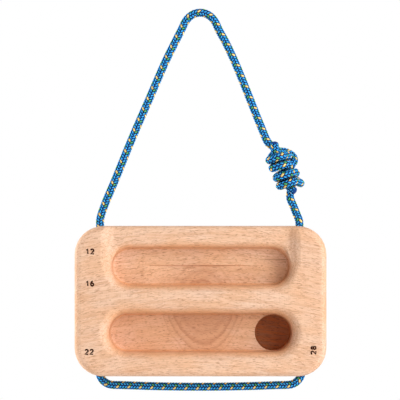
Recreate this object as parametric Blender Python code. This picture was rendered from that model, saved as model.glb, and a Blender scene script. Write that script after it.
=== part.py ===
"""Lifting edge block: a beech block with finger pockets, hung from one knotted loop of cord.

Metres, +Z up, front face toward -Y. The origin is where the loop hangs from a hook or pin, on
the inner side of its apex. Both legs of the cord lie in the plane Y = 0, through both holes.
"""

import bpy
import bmesh
from math import acos, cos, degrees, pi, radians, sin
from mathutils import Vector

# Driving sizes of the block
BLOCK_WIDTH = 0.176
BLOCK_HEIGHT = 0.105
BLOCK_DEPTH = 0.058
CORNER_RADIUS = 0.020
EDGE_ROUNDING = 0.0045
HANG_TO_TOP = 0.14665

# Upper pocket, with the rail above it set back from the front face
UPPER_LENGTH = 0.1246
UPPER_HEIGHT = 0.0263
UPPER_DEPTH = 0.016
UPPER_CENTRE_BELOW_TOP = 0.0282
UPPER_LIP = 0.0077
UPPER_RAIL_LIP = 0.005
RAIL_SET_BACK = 0.004
RAIL_RECESS_WIDTH = 0.140
RAIL_BLEND_RADIUS = 0.012
RAIL_TOP_ROUNDING = 0.0025
SCOOP_LENGTH = 0.079
SCOOP_DEPTH = 0.002
SCOOP_EDGE_ABOVE_CENTRE = 0.0005
SCOOP_STEP_WIDTH = 0.0003

# Lower pocket, with the one-finger hole at its right end
LOWER_LENGTH = 0.128
LOWER_HEIGHT = 0.0266
LOWER_DEPTH = 0.022
LOWER_CENTRE_BELOW_TOP = 0.07455
LOWER_LIP = 0.0087
POCKET_FLOOR_FILLET = 0.0025
FINGER_HOLE_DIAMETER = 0.0253
FINGER_HOLE_DEPTH = 0.028
FINGER_HOLE_FLOOR_FILLET = 0.0015

# Cord and its two holes
CORD_DIAMETER = 0.006
CORD_PLAY_IN_HOLE = 0.001
HOLE_SPACING = 0.141
HOLES_BEHIND_FRONT = 0.032
HOLE_MOUTH_ROUNDING = 0.003
TURNING_CLEARANCE = 0.0004
JOIN_GAP = 0.0003
# How far the cord lies outside the holes' middle lines where it leaves the top mouths
LEFT_MOUTH_OUT = 0.0
RIGHT_MOUTH_OUT = -0.0012

# Places (x, z) that the loop passes through, up the left leg and then down the right one
LEFT_LEG = ((-0.0702, -0.1408), (-0.0692, -0.1373), (-0.0680, -0.1340), (-0.0658, -0.1282),
            (-0.0600, -0.1146), (-0.0486, -0.0866), (-0.0364, -0.0585), (-0.0244, -0.0310),
            (-0.0172, -0.0165), (-0.0129, -0.0080), (-0.0106, -0.0033), (-0.0078, 0.00005),
            (-0.0042, 0.00225), (-0.0002, 0.0030))
RIGHT_LEG = ((0.0038, 0.00225), (0.0074, 0.00005), (0.0102, -0.0033), (0.0129, -0.0090),
             (0.0180, -0.0184), (0.0246, -0.0326), (0.0330, -0.0532))
LEG_UP_FROM_KNOT = (0.043, 0.037)

# Places (x, y, z) from the knot down to the right mouth
LEG_BELOW_KNOT = ((0.0660, 0.0016, -0.1345), (0.0677, 0.0009, -0.1389),
                  (0.0688, 0.0002, -0.1415))

# The run below the block: how far outside a hole's middle line, at depths below the swing axis
RIGHT_TOP_IN_HOLE = (-0.0010, -0.0006, -0.0001)
LEFT_TOP_IN_HOLE = (0.0, 0.0, 0.0002)
TOP_IN_HOLE_DEPTHS = (0.0033, 0.0065, 0.0120)
OUT_IN_HOLE = 0.0004
OUT_IN_HOLE_FROM = 0.0200
BEND_ABOVE_BOTTOM = 0.0030
STRAIGHT_ABOVE_BEND = 0.0120
UNDER_BEND_RADIUS = 0.0095
UNDER_BEND_TURNS = (22, 45, 68, 86)
UNDER_SAG = 0.0014
SAG_REACH = 0.060
SAG_PLACES = (0.054, 0.036, 0.018, 0.0, -0.018, -0.036, -0.054)

# The knot in its own frame: across it, toward its back, and up it
KNOT_CENTRE = (0.05857, -0.10723)
KNOT_LEAN = radians(22.2)
KNOT_TURN = radians(-25)
STRAND_LEFT_OF_KNOT = 0.0038
KNOT_TOP_END = 0.0310
KNOT_LOW_END = 0.0250
WRAP_RADIUS = 0.00265
CORE_HALF_DEPTH = 0.0036
WRAP_DISTANCE = 0.00545
WRAP_PITCH = 0.0060
WRAP_START = -0.01045
FRONT_EVENNESS = 0.8
WRAP_FROM = 10
WRAP_TO = 500

# Places (across, back, up, cord radius) of one strand through the knot, before and after its wraps
UPPER_ENTRY = ((-0.0038, 0, 0.0310, 0.0030), (-0.0038, 0, 0.0250, 0.0030),
               (-0.0034, 0.0004, 0.0215, 0.0029), (-0.0020, 0.0016, 0.0182, 0.0027),
               (-0.0006, 0.0029, 0.0150, 0.00225), (-0.0001, 0.0035, 0.0120, 0.0022))
LOWER_ENTRY = ((0.0038, 0, 0.0250, 0.0030), (0.0038, 0, 0.0205, 0.0030),
               (0.0031, 0.0007, 0.0176, 0.0028), (0.0016, 0.0021, 0.0146, 0.0024),
               (0.0003, 0.0034, 0.0118, 0.0022))
BEFORE_WRAPS = ((0, 0.0036, 0.0085, 0.0022), (-0.0001, 0.0037, 0.0056, 0.0022),
                (-0.0004, 0.0040, 0.0038, 0.00195), (-0.0011, 0.0049, 0.0021, 0.0018),
                (-0.0027, 0.0069, -0.0002, 0.0020), (-0.0037, 0.0096, -0.0018, 0.00235),
                (-0.0041, 0.0124, -0.0029, 0.00255), (-0.0038, 0.0146, -0.0054, 0.00265),
                (-0.0021, 0.0151, -0.0086, 0.00265), (0.0006, 0.0134, -0.0116, 0.00265),
                (0.0033, 0.0099, -0.0131, 0.00265), (0.0051, 0.0058, -0.0128, 0.00265),
                (0.0056, 0.0016, -0.0118, 0.00265))
AFTER_WRAPS = ((-0.0055, -0.0046, -0.0030, 0.00245), (-0.00545, -0.0024, -0.0027, 0.0022),
               (-0.00465, -0.0005, -0.0022, 0.0020), (-0.00275, 0.0003, -0.0021, 0.0020),
               (-0.0009, -0.0005, -0.0030, 0.0020), (-0.00015, -0.0023, -0.0047, 0.0021),
               (0, -0.0034, -0.0070, 0.0022))
LOWER_TAIL = ((0, -0.0036, -0.0110, 0.00225), (0.0006, -0.0037, -0.0130, 0.0024),
              (0.0020, -0.0039, -0.0152, 0.0028), (0.0039, -0.0041, -0.0176, 0.0030))
UPPER_TAIL = ((0, -0.0036, -0.0110, 0.00225), (-0.0005, -0.0038, -0.0140, 0.0025),
              (-0.0017, -0.0040, -0.0170, 0.0029), (-0.0034, -0.0038, -0.0208, 0.0030))

# How finely round shapes are drawn
CORNER_STEPS = 8
EDGE_STEPS = 5
POCKET_END_STEPS = 16
POCKET_SIDE_STEPS = 10
LIP_STEPS = 6
FILLET_STEPS = 3
HOLE_SIDES = 24
FINGER_HOLE_SIDES = 48
SPLINE_STEPS = 12
POINTS_PER_TURN = 24
LEG_SPACING = 0.9 * CORD_DIAMETER
SHORT_LEG_SPACING = 0.4 * CORD_DIAMETER
UNDER_SPACING = 0.85 * CORD_DIAMETER
KNOT_SPACING = CORD_DIAMETER / 3
BALL_STEPS = 4
BALL_CLOSES_AT = radians(84)

# Cutters start a little outside the wood, and their rounded edges meet the faces at this angle
CUT_MARGIN = 0.002
RIM_ANGLE = radians(11)
RIM_START = radians(3)

CORD_RADIUS = CORD_DIAMETER / 2
HOLE_RADIUS = CORD_RADIUS + CORD_PLAY_IN_HOLE
FRONT = -HOLES_BEHIND_FRONT
BACK = BLOCK_DEPTH - HOLES_BEHIND_FRONT
# The block swings about a line through the cord just above the two top mouths
AXIS_ABOVE_TOP = CORD_RADIUS + TURNING_CLEARANCE
TILT_AXIS_Z = -HANG_TO_TOP + AXIS_ABOVE_TOP
TOP = -AXIS_ABOVE_TOP
BOTTOM = TOP - BLOCK_HEIGHT
UPPER_CENTRE = TOP - UPPER_CENTRE_BELOW_TOP
LOWER_CENTRE = TOP - LOWER_CENTRE_BELOW_TOP


# Materials

def material(name, colour, roughness):
    """A plain surface with one colour and no metal in it."""
    made = bpy.data.materials.new(name)
    made.use_nodes = True
    made.diffuse_color = (*colour, 1.0)
    surface = made.node_tree.nodes["Principled BSDF"]
    surface.inputs["Base Color"].default_value = (*colour, 1.0)
    surface.inputs["Roughness"].default_value = roughness
    surface.inputs["Metallic"].default_value = 0.0
    return made


# Mesh helpers

def loft(name, rings):
    """Join rings of equal length into one closed body, with a flat cap at each end."""
    mesh = bpy.data.meshes.new(name)
    bm = bmesh.new()
    rows = [[bm.verts.new(point) for point in ring] for ring in rings]
    count = len(rows[0])
    for lower, upper in zip(rows, rows[1:]):
        for i in range(count):
            j = (i + 1) % count
            bm.faces.new((lower[i], lower[j], upper[j], upper[i]))
    bm.faces.new(list(reversed(rows[0])))
    bm.faces.new(rows[-1])
    bmesh.ops.recalc_face_normals(bm, faces=bm.faces)
    bm.to_mesh(mesh)
    bm.free()
    return mesh


def add_object(name, data, parent=None):
    obj = bpy.data.objects.new(name, data)
    bpy.context.scene.collection.objects.link(obj)
    obj.parent = parent
    return obj


def add_cutter(name, mesh, parent):
    """A shape that is only taken away from the wood."""
    cutter = add_object(name, mesh, parent)
    cutter.hide_render = True
    cutter.display_type = 'WIRE'
    return cutter


def rounded_rectangle(half_width, half_height, radius):
    """Points (x, z) of a rounded rectangle around the middle of the block."""
    points = []
    for quarter in range(4):
        side_x = 1 if quarter in (0, 3) else -1
        side_z = 1 if quarter in (0, 1) else -1
        for step in range(CORNER_STEPS + 1):
            angle = radians(90) * (quarter + step / CORNER_STEPS)
            x = side_x * (half_width - radius) + radius * cos(angle)
            z = side_z * (half_height - radius) + radius * sin(angle)
            points.append((x, z))
    return points


# The block before it is cut

def block_body():
    """The outer shape, with its long edges rounded front and back."""
    middle = (TOP + BOTTOM) / 2
    rings = []
    for face, inward in ((FRONT, 1), (BACK, -1)):
        steps = range(EDGE_STEPS + 1) if inward == 1 else range(EDGE_STEPS, -1, -1)
        for step in steps:
            angle = radians(90) * step / EDGE_STEPS
            inset = EDGE_ROUNDING * (1 - sin(angle))
            y = face + inward * EDGE_ROUNDING * (1 - cos(angle))
            outline = rounded_rectangle(BLOCK_WIDTH / 2 - inset, BLOCK_HEIGHT / 2 - inset,
                                        CORNER_RADIUS - inset)
            rings.append([(x, y, middle + z) for x, z in outline])
    return loft("edge_block", rings)


# The rail above the upper pocket

def recess_profile():
    """Points (distance in from the rim, depth) across the smooth step down to the rail."""
    turn = acos((cos(RIM_ANGLE) + 1 - RAIL_SET_BACK / RAIL_BLEND_RADIUS) / 2)
    rim = RAIL_BLEND_RADIUS * sin(RIM_ANGLE)
    points = []
    for step in range(LIP_STEPS + 1):
        angle = RIM_START + (turn - RIM_START) * step / LIP_STEPS
        across = RAIL_BLEND_RADIUS * sin(angle) - rim
        points.append((across, RAIL_BLEND_RADIUS * (cos(RIM_ANGLE) - cos(angle))))
    width = 2 * points[-1][0] + rim
    for step in range(1, LIP_STEPS + 1):
        angle = turn * (1 - step / LIP_STEPS)
        across = width - RAIL_BLEND_RADIUS * sin(angle)
        points.append((across, RAIL_SET_BACK - RAIL_BLEND_RADIUS * (1 - cos(angle))))
    return points


def recess_depth(x):
    """How far the rail lies behind the front face at x, off the top edge's rounding."""
    inward = RAIL_RECESS_WIDTH / 2 - abs(x)
    profile = recess_profile()
    if inward <= 0:
        return 0.0
    for (a, low), (b, high) in zip(profile, profile[1:]):
        if a <= inward <= b:
            return max(0.0, low + (high - low) * (inward - a) / (b - a))
    return RAIL_SET_BACK


def recess_cutter():
    """Wood taken off the top rail, from the upper pocket's middle out through the top edge."""
    levels = [(UPPER_CENTRE, 0.0), (TOP - RAIL_TOP_ROUNDING, 0.0)]
    for step in range(1, EDGE_STEPS + 1):
        angle = radians(90) * step / EDGE_STEPS
        levels.append((TOP - RAIL_TOP_ROUNDING * (1 - sin(angle)),
                       RAIL_TOP_ROUNDING * (1 - cos(angle))))
    levels.append((TOP + CUT_MARGIN, RAIL_TOP_ROUNDING))
    half = RAIL_RECESS_WIDTH / 2
    profile = recess_profile()
    rings = []
    for z, rounding in levels:
        ring = [(-half + a, FRONT + depth + rounding, z) for a, depth in profile]
        ring += [(half - a, FRONT + depth + rounding, z) for a, depth in reversed(profile)]
        ring += [(ring[-1][0], FRONT - CUT_MARGIN, z), (ring[0][0], FRONT - CUT_MARGIN, z)]
        rings.append(ring)
    return loft("cut_rail_recess", rings)


# The two finger pockets

def pocket_stations(length, height):
    """Places round a pocket's wall: (x, z, outward x, outward z), from its right end upward."""
    radius = height / 2
    straight = length / 2 - radius
    stations = []
    for side in (1, -1):
        for step in range(POCKET_END_STEPS + 1):
            angle = radians((0 if side == 1 else 180) - 90 + 180 * step / POCKET_END_STEPS)
            stations.append((side * straight, 0.0, cos(angle), sin(angle)))
        for step in range(1, POCKET_SIDE_STEPS):
            x = side * straight * (1 - 2 * step / POCKET_SIDE_STEPS)
            stations.append((x, 0.0, 0.0, float(side)))
    return stations


def pocket_cutter(name, centre, length, height, lip_at, rim_depth_at, floor_at):
    """Wood taken out for a pocket: rounded lip, straight wall, filleted floor."""
    radius = height / 2
    stations = pocket_stations(length, height)

    def ring(offset_of, depth_of):
        points = []
        for x, z, ox, oz in stations:
            reach = radius + offset_of(x, ox, oz)
            points.append((x + reach * ox, FRONT + depth_of(x, ox, oz), centre + z + reach * oz))
        return points

    def lip_offset(angle):
        return lambda x, ox, oz: lip_at(x, ox, oz) * (1 - sin(angle))

    def lip_depth(angle):
        return lambda x, ox, oz: rim_depth_at(x, ox, oz) + lip_at(x, ox, oz) * (
            cos(RIM_ANGLE) - cos(angle))

    rings = [ring(lip_offset(RIM_START), lambda x, ox, oz: -CUT_MARGIN)]
    for step in range(LIP_STEPS + 1):
        angle = RIM_START + (radians(90) - RIM_START) * step / LIP_STEPS
        rings.append(ring(lip_offset(angle), lip_depth(angle)))
    for step in range(FILLET_STEPS + 1):
        angle = radians(90) * step / FILLET_STEPS
        inset = POCKET_FLOOR_FILLET * (1 - cos(angle))
        rise = POCKET_FLOOR_FILLET * (1 - sin(angle))
        rings.append(ring(lambda x, ox, oz: -inset,
                          lambda x, ox, oz: floor_at(x, oz) - rise))
    return close_pocket(name, rings, stations, centre, floor_at)


def close_pocket(name, rings, stations, centre, floor_at):
    """Skin the rings, cap the mouth, and lay the floor as columns from bottom edge to top edge."""
    mesh = bpy.data.meshes.new(name)
    bm = bmesh.new()
    rows = [[bm.verts.new(point) for point in ring] for ring in rings]
    count = len(stations)
    for outer, inner in zip(rows, rows[1:]):
        for i in range(count):
            j = (i + 1) % count
            bm.faces.new((outer[i], outer[j], inner[j], inner[i]))
    bm.faces.new(rows[0])
    floor = rows[-1]
    # Station 0 is the foot of the right end, so the pairs run from right to left
    quarter = POCKET_END_STEPS // 2
    right_tip = quarter
    left_tip = right_tip + count // 2
    upper = [floor[(right_tip + k) % count] for k in range(count // 2 + 1)]
    lower = [floor[(right_tip - k) % count] for k in range(count // 2 + 1)]
    edge_z = centre + SCOOP_EDGE_ABOVE_CENTRE
    middle = []
    for top_vert, low_vert in zip(upper[1:-1], lower[1:-1]):
        x = top_vert.co.x
        flat = bm.verts.new((x, FRONT + floor_at(x, 1.0), edge_z + SCOOP_STEP_WIDTH))
        dished = bm.verts.new((x, FRONT + floor_at(x, -1.0), edge_z))
        middle.append((flat, dished))
    for k in range(len(middle) - 1):
        flat_a, dished_a = middle[k]
        flat_b, dished_b = middle[k + 1]
        bm.faces.new((upper[k + 1], flat_a, flat_b, upper[k + 2]))
        bm.faces.new((flat_a, dished_a, dished_b, flat_b))
        bm.faces.new((dished_a, lower[k + 1], lower[k + 2], dished_b))
    for tip, (flat, dished), up, low in ((floor[right_tip], middle[0], upper[1], lower[1]),
                                         (floor[left_tip], middle[-1], upper[-2], lower[-2])):
        bm.faces.new((tip, up, flat))
        bm.faces.new((tip, flat, dished))
        bm.faces.new((tip, dished, low))
    bmesh.ops.triangulate(bm, faces=[f for f in bm.faces if len(f.verts) == 4])
    bmesh.ops.recalc_face_normals(bm, faces=bm.faces)
    bm.to_mesh(mesh)
    bm.free()
    return mesh


def upper_pocket_cutter():
    """The shallow pocket: its top lip starts from the set-back rail, its floor has a scoop."""
    radius = UPPER_HEIGHT / 2

    def lip_at(x, ox, oz):
        share = max(0.0, oz) ** 2
        return UPPER_LIP + (UPPER_RAIL_LIP - UPPER_LIP) * share

    def rim_depth_at(x, ox, oz):
        if oz <= 0:
            return 0.0
        return recess_depth(x + ox * (radius + lip_at(x, ox, oz)))

    def floor_at(x, oz):
        if oz >= 0 or abs(x) >= SCOOP_LENGTH / 2:
            return UPPER_DEPTH
        return UPPER_DEPTH + SCOOP_DEPTH * (1 - (2 * x / SCOOP_LENGTH) ** 2)

    return pocket_cutter("cut_upper_pocket", UPPER_CENTRE, UPPER_LENGTH, UPPER_HEIGHT,
                         lip_at, rim_depth_at, floor_at)


def lower_pocket_cutter():
    """The deep pocket, with an even lip and a flat floor."""
    return pocket_cutter("cut_lower_pocket", LOWER_CENTRE, LOWER_LENGTH, LOWER_HEIGHT,
                         lambda x, ox, oz: LOWER_LIP, lambda x, ox, oz: 0.0,
                         lambda x, oz: LOWER_DEPTH)


# Round holes

def circle(radius, sides):
    return [(radius * cos(2 * pi * k / sides), radius * sin(2 * pi * k / sides))
            for k in range(sides)]


def finger_hole_x():
    """The one-finger hole is centred on the round end of the lower pocket."""
    return LOWER_LENGTH / 2 - LOWER_HEIGHT / 2


def finger_hole_cutter():
    """A blind hole from inside the lower pocket, with a small fillet at its floor."""
    radius = FINGER_HOLE_DIAMETER / 2
    start = FRONT + LOWER_DEPTH - POCKET_FLOOR_FILLET - CUT_MARGIN
    floor = FRONT + LOWER_DEPTH + FINGER_HOLE_DEPTH
    levels = [(start, radius)]
    for step in range(FILLET_STEPS + 1):
        angle = radians(90) * step / FILLET_STEPS
        levels.append((floor - FINGER_HOLE_FLOOR_FILLET * (1 - sin(angle)),
                       radius - FINGER_HOLE_FLOOR_FILLET * (1 - cos(angle))))
    rings = []
    for y, ring_radius in levels:
        rings.append([(finger_hole_x() + x, y, LOWER_CENTRE + z)
                      for x, z in circle(ring_radius, FINGER_HOLE_SIDES)])
    return loft("cut_finger_hole", rings)


def cord_hole_cutter(name, x_centre):
    """A hole down through the block with both mouths rounded for the cord."""
    levels = []
    for face, inward in ((TOP, -1), (BOTTOM, 1)):
        mouth = [(face - inward * CUT_MARGIN, HOLE_RADIUS + HOLE_MOUTH_ROUNDING)]
        for step in range(LIP_STEPS):
            angle = RIM_START + (radians(90) - RIM_START) * step / (LIP_STEPS - 1)
            sunk = HOLE_MOUTH_ROUNDING * (cos(RIM_ANGLE) - cos(angle))
            mouth.append((face + inward * sunk,
                          HOLE_RADIUS + HOLE_MOUTH_ROUNDING * (1 - sin(angle))))
        levels += mouth if face == TOP else list(reversed(mouth))
    rings = []
    for z, radius in levels:
        rings.append([(x_centre + x, y, z) for x, y in circle(radius, HOLE_SIDES)])
    return loft(name, rings)


def make_block(hanger, wood):
    """Cut the pockets and holes out of the body, then shade its round faces smooth."""
    block = add_object("edge_block", block_body(), hanger)
    cutters = [add_cutter("cut_rail_recess", recess_cutter(), hanger),
               add_cutter("cut_upper_pocket", upper_pocket_cutter(), hanger),
               add_cutter("cut_lower_pocket", lower_pocket_cutter(), hanger),
               add_cutter("cut_finger_hole", finger_hole_cutter(), hanger)]
    for name, side in (("cut_cord_hole_left", -1), ("cut_cord_hole_right", 1)):
        mesh = cord_hole_cutter(name, side * HOLE_SPACING / 2)
        cutters.append(add_cutter(name, mesh, hanger))
    for cutter in cutters:
        cut = block.modifiers.new(cutter.name, 'BOOLEAN')
        cut.operation = 'DIFFERENCE'
        cut.solver = 'EXACT'
        cut.object = cutter
    bpy.context.view_layer.update()
    evaluated = block.evaluated_get(bpy.context.evaluated_depsgraph_get())
    finished = bpy.data.meshes.new_from_object(evaluated)
    finished.name = "edge_block"
    block.modifiers.clear()
    block.data = finished
    for cutter in cutters:
        bpy.data.objects.remove(cutter)
    finished.materials.clear()
    finished.materials.append(wood)
    finished.shade_smooth()
    finished.set_sharp_from_angle(angle=radians(30))
    return block


# Cord helpers

def smooth_route(route, spacing):
    """Points (position, radius) on a smooth curve through a route, about one spacing apart.

    Each place of the route is (x, y, z, radius). The curve is a centripetal Catmull-Rom spline.
    """
    places = [Vector(place[:3]) for place in route]
    radii = [place[3] for place in route]
    places = [2 * places[0] - places[1]] + places + [2 * places[-1] - places[-2]]
    radii = [radii[0]] + radii + [radii[-1]]
    fine = []
    for i in range(1, len(places) - 2):
        p0, p1, p2, p3 = places[i - 1:i + 3]
        t1 = (p1 - p0).length ** 0.5
        t2 = t1 + (p2 - p1).length ** 0.5
        t3 = t2 + (p3 - p2).length ** 0.5
        for step in range(SPLINE_STEPS):
            share = step / SPLINE_STEPS
            t = t1 + (t2 - t1) * share
            a1 = p0.lerp(p1, t / t1)
            a2 = p1.lerp(p2, (t - t1) / (t2 - t1))
            a3 = p2.lerp(p3, (t - t2) / (t3 - t2))
            b1 = a1.lerp(a2, t / t2)
            b2 = a2.lerp(a3, (t - t1) / (t3 - t1))
            radius = radii[i] + (radii[i + 1] - radii[i]) * share
            fine.append((b1.lerp(b2, (t - t1) / (t2 - t1)), radius))
    fine.append((places[-2], radii[-2]))
    return even_points(fine, spacing)


def even_points(fine, spacing):
    """Pick points at equal distances along a finely drawn line, with both its ends."""
    travelled = [0.0]
    for (a, _), (b, _) in zip(fine, fine[1:]):
        travelled.append(travelled[-1] + (b - a).length)
    pieces = max(1, round(travelled[-1] / spacing))
    picked = []
    index = 0
    for k in range(pieces + 1):
        wanted = travelled[-1] * k / pieces
        while index < len(fine) - 2 and travelled[index + 1] < wanted:
            index += 1
        (a, radius_a), (b, radius_b) = fine[index], fine[index + 1]
        share = (wanted - travelled[index]) / (travelled[index + 1] - travelled[index])
        share = min(1.0, max(0.0, share))
        picked.append((a.lerp(b, share), radius_a + (radius_b - radius_a) * share))
    return picked


def tube(name, points, sides_level, parent, cord_material):
    """A round tube along points (position, radius), closed at both ends."""
    curve = bpy.data.curves.new(name, 'CURVE')
    curve.dimensions = '3D'
    curve.bevel_depth = CORD_RADIUS
    curve.bevel_resolution = sides_level
    curve.use_fill_caps = True
    spline = curve.splines.new('POLY')
    spline.points.add(len(points) - 1)
    for point, (place, radius) in zip(spline.points, points):
        point.co = (*place, 1.0)
        point.radius = radius / CORD_RADIUS
    spline.use_smooth = True
    curve.materials.append(cord_material)
    return add_object(name, curve, parent)


def ball_below(end):
    """Points that round a tube's lower end off into a half ball, from its full width down."""
    closing = []
    for step in range(1, BALL_STEPS + 1):
        angle = BALL_CLOSES_AT * step / BALL_STEPS
        closing.append((Vector(end) - Vector((0, 0, CORD_RADIUS * sin(angle))),
                        CORD_RADIUS * cos(angle)))
    return closing


# The knot

def from_knot(across, back, up):
    """A place (x, y, z) in the part's frame from one in the knot's own frame."""
    turned_across = across * cos(KNOT_TURN) - back * sin(KNOT_TURN)
    turned_back = across * sin(KNOT_TURN) + back * cos(KNOT_TURN)
    x = KNOT_CENTRE[0] - up * sin(KNOT_LEAN) + turned_across * cos(KNOT_LEAN)
    z = KNOT_CENTRE[1] + up * cos(KNOT_LEAN) + turned_across * sin(KNOT_LEAN)
    return (x, turned_back, z)


def wrap_point(turned):
    """A place of the winding round the two inner strands, after turning so many degrees.

    The winding is level across the front and climbs behind, so its bars lie square there.
    """
    angle = radians(-turned)
    stretch = max(-1.0, min(1.0, 3 * sin(angle)))
    climb = turned + FRONT_EVENNESS * degrees(cos(angle) - 1)
    return (WRAP_DISTANCE * cos(angle),
            WRAP_DISTANCE * sin(angle) + CORE_HALF_DEPTH * stretch,
            WRAP_START + WRAP_PITCH * climb / 360, WRAP_RADIUS)


def knot_strand(entry, tail, side):
    """One strand: in through the other barrel, over its own wraps, round, and out as a tail.

    The strand of side -1 is that of side 1, turned half round about the front-to-back line.
    """
    steps = round(POINTS_PER_TURN * (WRAP_TO - WRAP_FROM) / 360)
    wraps = tuple(wrap_point(WRAP_FROM + (WRAP_TO - WRAP_FROM) * step / steps)
                  for step in range(steps + 1))
    route = entry + BEFORE_WRAPS + wraps + AFTER_WRAPS + tail
    placed = [(*from_knot(side * across, back, side * up), radius)
              for across, back, up, radius in route]
    return smooth_route(placed, KNOT_SPACING)


def least_gap(first, second, skip):
    """Smallest clear distance between two tubes, or within one tube past a skipped length."""
    smallest = 1.0
    same = first is second
    spacing = (first[1][0] - first[0][0]).length
    for i, (a, radius_a) in enumerate(first):
        for j, (b, radius_b) in enumerate(second):
            if same and (j - i) * spacing < skip:
                continue
            smallest = min(smallest, (a - b).length - radius_a - radius_b)
    return smallest


def make_knot(cord_material):
    """Two strands, each wound twice round the other: a double fisherman's knot."""
    lower = knot_strand(UPPER_ENTRY, LOWER_TAIL, 1)
    upper = knot_strand(LOWER_ENTRY, UPPER_TAIL, -1)
    tube("knot_lower_barrel", lower, 1, None, cord_material)
    tube("knot_upper_barrel", upper, 1, None, cord_material)
    skip = 2.2 * CORD_DIAMETER
    print("least gap of the lower barrel to itself, m:", round(least_gap(lower, lower, skip), 6))
    print("least gap of the upper barrel to itself, m:", round(least_gap(upper, upper, skip), 6))
    print("least gap between the two, m:", round(least_gap(lower, upper, 0), 6))


# The rest of the cord

def make_upper_loop(cord_material):
    """From the left mouth over the apex to the knot, on the fixed side of the swing."""
    end = (-HOLE_SPACING / 2 - LEFT_MOUTH_OUT, 0, TILT_AXIS_Z)
    route = [(*end, CORD_RADIUS)]
    route += [(x, 0, z, CORD_RADIUS) for x, z in LEFT_LEG + RIGHT_LEG]
    for up in LEG_UP_FROM_KNOT + (KNOT_TOP_END + JOIN_GAP,):
        route.append((*from_knot(-STRAND_LEFT_OF_KNOT, 0, up), CORD_RADIUS))
    points = list(reversed(ball_below(end))) + smooth_route(route, LEG_SPACING)
    tube("cord_upper_loop", points, 2, None, cord_material)


def make_right_leg(cord_material):
    """The short stretch from the knot down to the right mouth."""
    end = (HOLE_SPACING / 2 + RIGHT_MOUTH_OUT, 0, TILT_AXIS_Z)
    start = from_knot(-STRAND_LEFT_OF_KNOT, 0, -KNOT_LOW_END - JOIN_GAP)
    route = [(*place, CORD_RADIUS) for place in (start,) + LEG_BELOW_KNOT + (end,)]
    points = smooth_route(route, SHORT_LEG_SPACING) + ball_below(end)
    tube("cord_right_leg", points, 2, None, cord_material)


def down_one_hole(top_in_hole):
    """Places (distance out, z) from the swing axis down a hole and through the bend below it."""
    places = [(HOLE_SPACING / 2 + out, -depth)
              for out, depth in zip(top_in_hole, TOP_IN_HOLE_DEPTHS)]
    straight = HOLE_SPACING / 2 + OUT_IN_HOLE
    bend_start = BOTTOM + BEND_ABOVE_BOTTOM
    places += [(straight, -OUT_IN_HOLE_FROM), (straight, (TOP + BOTTOM) / 2),
               (straight, bend_start + STRAIGHT_ABOVE_BEND), (straight, bend_start)]
    for turn in UNDER_BEND_TURNS:
        angle = radians(turn)
        places.append((straight - UNDER_BEND_RADIUS * (1 - cos(angle)),
                       bend_start - UNDER_BEND_RADIUS * sin(angle)))
    return places


def make_underside_run(hanger, cord_material):
    """Down the right hole, across below the block and up the left hole."""
    right = down_one_hole(RIGHT_TOP_IN_HOLE)
    left = [(-out, z) for out, z in reversed(down_one_hole(LEFT_TOP_IN_HOLE))]
    lowest = right[-1][1]
    middle = [(x, lowest - UNDER_SAG * (1 - (x / SAG_REACH) ** 2)) for x in SAG_PLACES]
    route = [(x, 0, z, CORD_RADIUS) for x, z in right + middle + left]
    tube("cord_underside_run", smooth_route(route, UNDER_SPACING), 2, hanger, cord_material)


def main():
    for obj in list(bpy.data.objects):
        bpy.data.objects.remove(obj)
    wood = material("beech", (0.86, 0.52, 0.33), 0.55)
    cord_material = material("cord_sheath", (0.02, 0.22, 0.62), 0.7)
    hanger = add_object("block_hanger", None)
    hanger.location = (0, 0, TILT_AXIS_Z)
    make_block(hanger, wood)
    make_upper_loop(cord_material)
    make_knot(cord_material)
    make_right_leg(cord_material)
    make_underside_run(hanger, cord_material)


main()
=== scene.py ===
"""Lifting edge block: camera, light, materials and the fine cord, round the solids of the part.

Metres, +Z up, front face toward -Y, the origin where the loop hangs from a hook or pin.
"""

from math import cos, degrees, pi, radians, sin

import bpy
import numpy as np
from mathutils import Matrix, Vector


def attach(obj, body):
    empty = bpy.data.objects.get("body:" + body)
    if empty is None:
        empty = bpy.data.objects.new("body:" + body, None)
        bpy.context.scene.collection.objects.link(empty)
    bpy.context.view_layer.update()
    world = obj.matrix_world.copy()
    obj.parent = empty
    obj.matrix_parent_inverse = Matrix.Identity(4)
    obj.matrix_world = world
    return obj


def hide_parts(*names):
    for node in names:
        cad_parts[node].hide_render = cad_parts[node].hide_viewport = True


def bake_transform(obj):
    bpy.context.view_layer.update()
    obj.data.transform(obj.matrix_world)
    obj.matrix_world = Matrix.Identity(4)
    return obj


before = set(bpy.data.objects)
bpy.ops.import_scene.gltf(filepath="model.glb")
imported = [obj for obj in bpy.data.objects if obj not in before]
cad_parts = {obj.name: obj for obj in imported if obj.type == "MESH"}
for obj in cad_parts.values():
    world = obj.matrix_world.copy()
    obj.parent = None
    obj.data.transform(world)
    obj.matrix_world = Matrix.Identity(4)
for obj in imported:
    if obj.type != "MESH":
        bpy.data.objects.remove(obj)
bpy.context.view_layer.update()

# Sizes repeated from the source of the part
CORD_RADIUS = 0.003
TILT_AXIS_Z = -0.14325
BLOCK_TOP = -0.0034
BLOCK_BOTTOM = -0.1084
HOLE_SPACING = 0.141
FRONT = -0.032

# Camera: a long lens level with the middle of the picture
VIEW_WIDTH = 0.28
VIEW_CENTRE = (-0.00035, -0.016, -0.12845)
VIEW_DISTANCE = 6.0
SENSOR_WIDTH = 36.0
FARTHEST_SEEN = 30.0


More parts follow.
